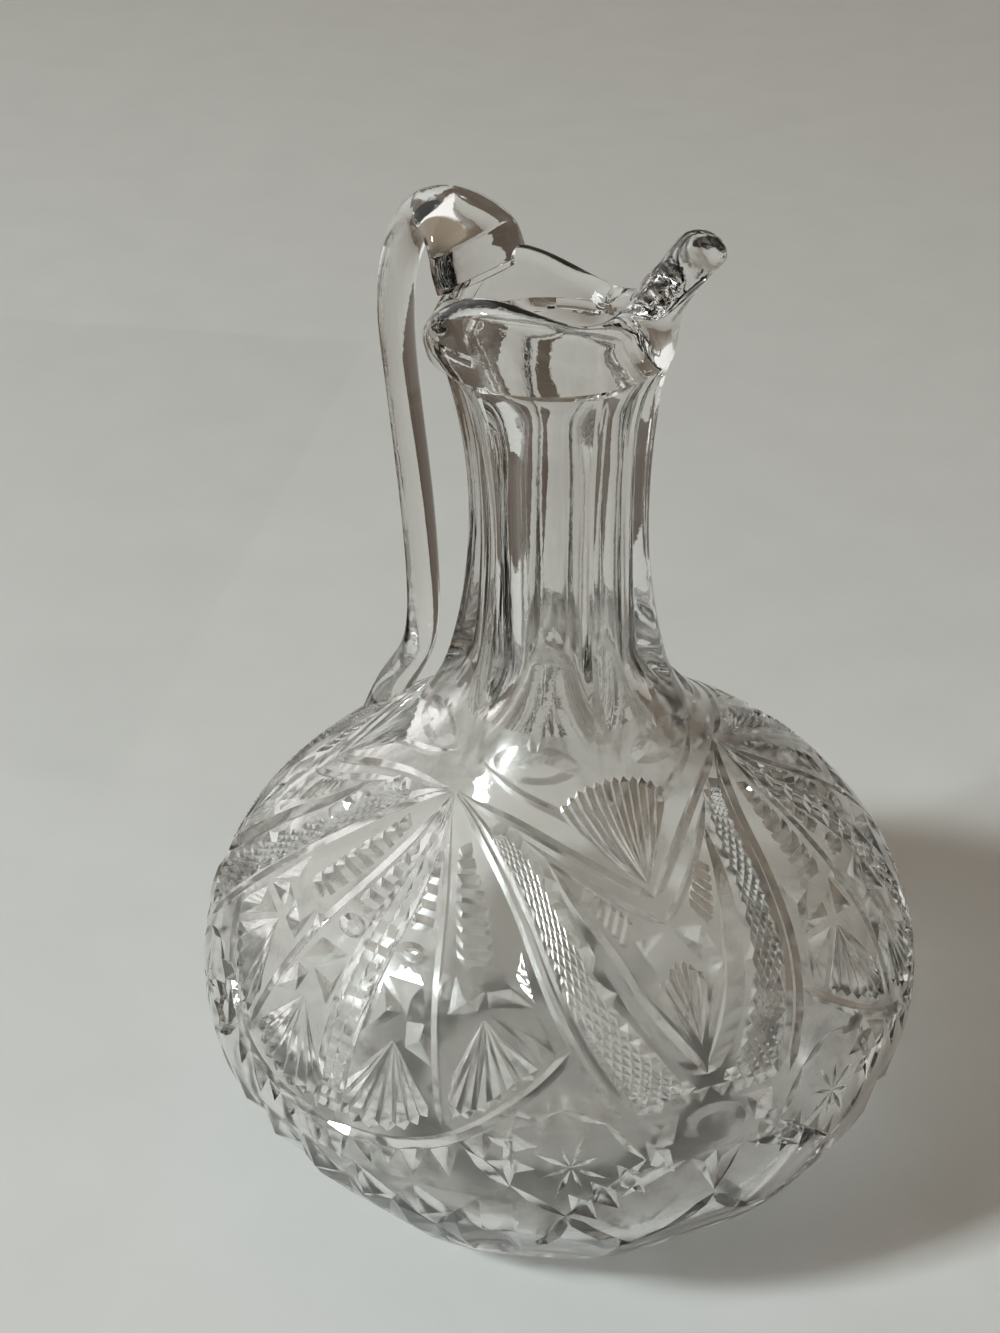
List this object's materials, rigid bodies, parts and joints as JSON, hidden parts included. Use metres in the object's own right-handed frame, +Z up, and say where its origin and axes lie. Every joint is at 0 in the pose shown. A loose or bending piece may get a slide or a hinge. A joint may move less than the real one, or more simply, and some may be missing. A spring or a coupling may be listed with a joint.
{
  "type": "glass cruet",
  "caption": "Small clear glass jug for oil or vinegar: squat bulb with pressed star and hobnail pattern, fluted neck, lobed pouring lip and applied loop handle.",
  "frame": {"origin": "centre of the foot's flat underside, on the surface it stands on", "axes": "+Z up along the jug's axis, +X towards the pouring spout, +Y to the left when facing the spout's direction"},
  "size_m": [0.086, 0.086, 0.119],
  "materials": {
    "clear_glass": "clear colourless pressed glass, glossy and fire polished, with a very slight warm grey tone"
  },
  "bodies": {
    "root": {"star_foot": "clear_glass", "pressed_bulb": "clear_glass", "fluted_neck": "clear_glass", "pouring_lip": "clear_glass", "applied_handle": "clear_glass"}
  },
  "joints": []
}
